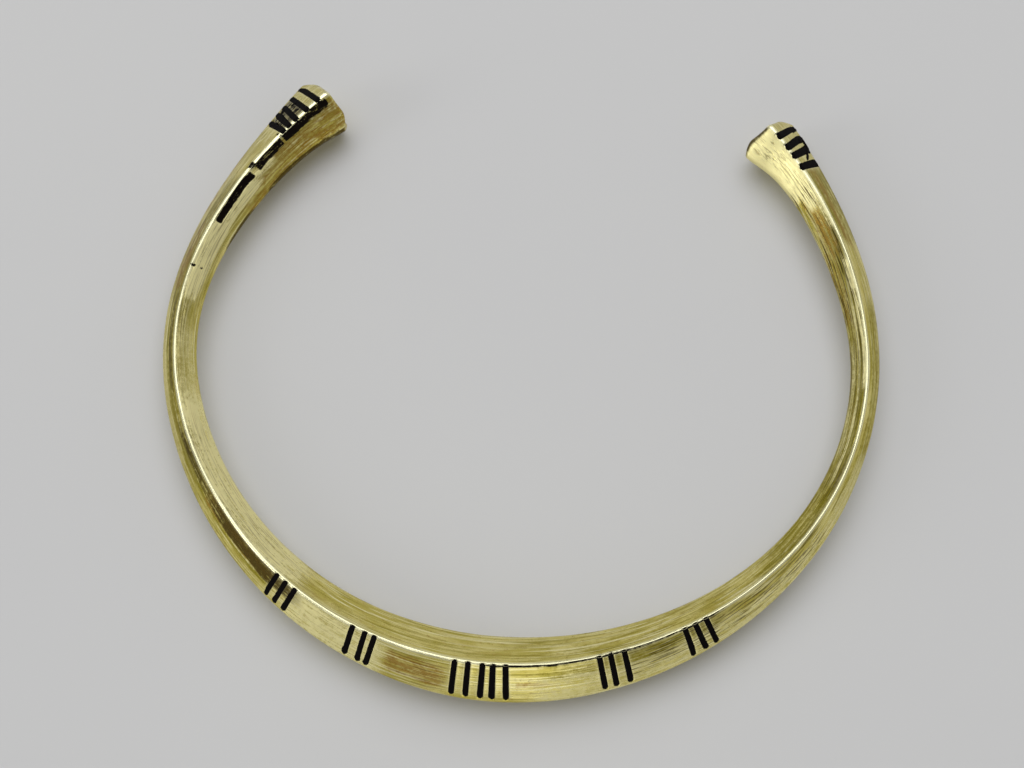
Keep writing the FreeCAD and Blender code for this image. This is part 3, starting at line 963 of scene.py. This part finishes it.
def make_floor():
    """A floor that reaches far beyond the view."""
    size = FLOOR_HALF_SIZE
    points = [(-size, -size, 0), (size, -size, 0), (size, size, 0), (-size, size, 0)]
    floor = make_object("floor", points, [(0, 1, 2, 3)], floor_material())


def soft_light(name, direction, half_angle, radiance):
    """A soft white round light that faces the hoop's centre from afar."""
    radius = LIGHT_DISTANCE * math.tan(math.radians(half_angle)) * MM
    lamp = bpy.data.lights.new(name, "AREA")
    lamp.shape = "DISK"
    lamp.size = 2 * radius
    lamp.energy = radiance * (math.pi * radius) ** 2
    thing = bpy.data.objects.new(name, lamp)
    target = Vector((*HOOP_CENTRE, MID_HEIGHT)) * MM
    thing.location = target + Vector(direction).normalized() * LIGHT_DISTANCE * MM
    thing.rotation_euler = (target - thing.location).to_track_quat("-Z", "Y").to_euler()
    thing.visible_camera = False
    bpy.context.scene.collection.objects.link(thing)


# The room's brightness by how high the eye looks, from 0 straight down to 1 straight up.
ROOM = [(0.0, 0.50), (0.50, 0.62), (0.58, 0.50), (0.68, 0.36), (0.85, 0.36), (0.97, 0.50)]
# A dark patch in the room: its colour, its direction, and the cosines of the angles from its middle at
# which it starts and is full.
SHADE = (0.07, 0.07, 0.075, 1)
SHADE_DIRECTION = (0.0, -0.67, 0.74)
SHADE_EDGE = (0.89, 0.96)


def room_walls(tree, looking):
    """The room's colour where the eye looks, brighter or dimmer by height."""
    apart = tree.nodes.new("ShaderNodeSeparateXYZ")
    tree.links.new(looking, apart.inputs[0])
    rise = tree.nodes.new("ShaderNodeMapRange")
    rise.inputs["From Min"].default_value = -1.0
    tree.links.new(apart.outputs["Z"], rise.inputs["Value"])
    walls = tree.nodes.new("ShaderNodeValToRGB")
    while len(walls.color_ramp.elements) < len(ROOM):
        walls.color_ramp.elements.new(0.5)
    for element, (position, bright) in zip(walls.color_ramp.elements, ROOM):
        element.position = position
        element.color = (bright, bright, bright, 1)
    tree.links.new(rise.outputs["Result"], walls.inputs[0])
    return walls.outputs[0]


def room_shade(tree, looking):
    """How strongly the dark patch covers the room where the eye looks."""
    toward = tree.nodes.new("ShaderNodeVectorMath")
    toward.operation = "DOT_PRODUCT"
    toward.inputs[1].default_value = SHADE_DIRECTION
    tree.links.new(looking, toward.inputs[0])
    patch = tree.nodes.new("ShaderNodeMapRange")
    patch.interpolation_type = "SMOOTHSTEP"
    patch.inputs["From Min"].default_value = SHADE_EDGE[0]
    patch.inputs["From Max"].default_value = SHADE_EDGE[1]
    tree.links.new(toward.outputs["Value"], patch.inputs["Value"])
    return patch.outputs["Result"]


def make_world():
    """A pale room, dimmer half way up its walls, with one soft dark patch in front."""
    world = bpy.data.worlds.new("studio")
    world.use_nodes = True
    tree = world.node_tree
    looking = tree.nodes.new("ShaderNodeTexCoord").outputs["Generated"]
    mix = tree.nodes.new("ShaderNodeMix")
    mix.data_type = "RGBA"
    mix.inputs[7].default_value = SHADE
    tree.links.new(room_walls(tree, looking), mix.inputs[6])
    tree.links.new(room_shade(tree, looking), mix.inputs[0])
    tree.links.new(mix.outputs[2], tree.nodes["Background"].inputs["Color"])
    bpy.context.scene.world = world


CAMERA_TURN = -5.2      # degrees that the view is turned about the vertical
CAMERA_TILT = 20.5      # degrees that the camera stands forward of straight above
CAMERA_LEAN = 3.0       # and how far to the right
CAMERA_DISTANCE = 160.0
CAMERA_AIM = (-0.84, -4.63)     # what it looks at, from the hoop's centre in the turned view
CAMERA_LENS = 61.9
SENSOR_WIDTH = 36.0


def make_camera():
    """A camera above the cuff and a little in front of it."""
    tilt = math.radians(CAMERA_TILT)
    lean = math.radians(CAMERA_LEAN)
    right = Vector((math.cos(lean), math.sin(lean) * math.sin(tilt), -math.sin(lean) * math.cos(tilt)))
    up = Vector((0.0, math.cos(tilt), math.sin(tilt)))
    back = Vector((math.sin(lean), -math.cos(lean) * math.sin(tilt), math.cos(lean) * math.cos(tilt)))
    turn = Matrix.Rotation(math.radians(-CAMERA_TURN), 3, "Z")
    facing = turn @ Matrix((right, up, back)).transposed()
    aim = Vector((*HOOP_CENTRE, MID_HEIGHT)) + turn @ Vector((*CAMERA_AIM, 0.0))
    camera = bpy.data.cameras.new("camera")
    camera.sensor_width = SENSOR_WIDTH
    camera.lens = CAMERA_LENS
    camera.clip_start = 0.005
    thing = bpy.data.objects.new("camera", camera)
    stand = (aim + facing.col[2] * CAMERA_DISTANCE) * MM
    thing.matrix_world = Matrix.Translation(stand) @ facing.to_4x4()
    bpy.context.scene.collection.objects.link(thing)
    bpy.context.scene.camera = thing


# ---------------------------------------------------------------- the scene

make_camera()
make_floor()
make_world()
for light in LIGHTS:
    soft_light(*light)
bpy.context.scene.view_settings.view_transform = "Standard"

brass = brass_material()
black = fill_material()
bar = make_bar(brass)
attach(bar, BODY)
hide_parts("cuff_bar")
for seed, (group, reach, lines) in enumerate(LINE_GROUPS):
    fill = make_fill(group, reach, lines, seed, black)
    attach(fill, BODY)
    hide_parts(f"{group}_line_fill")
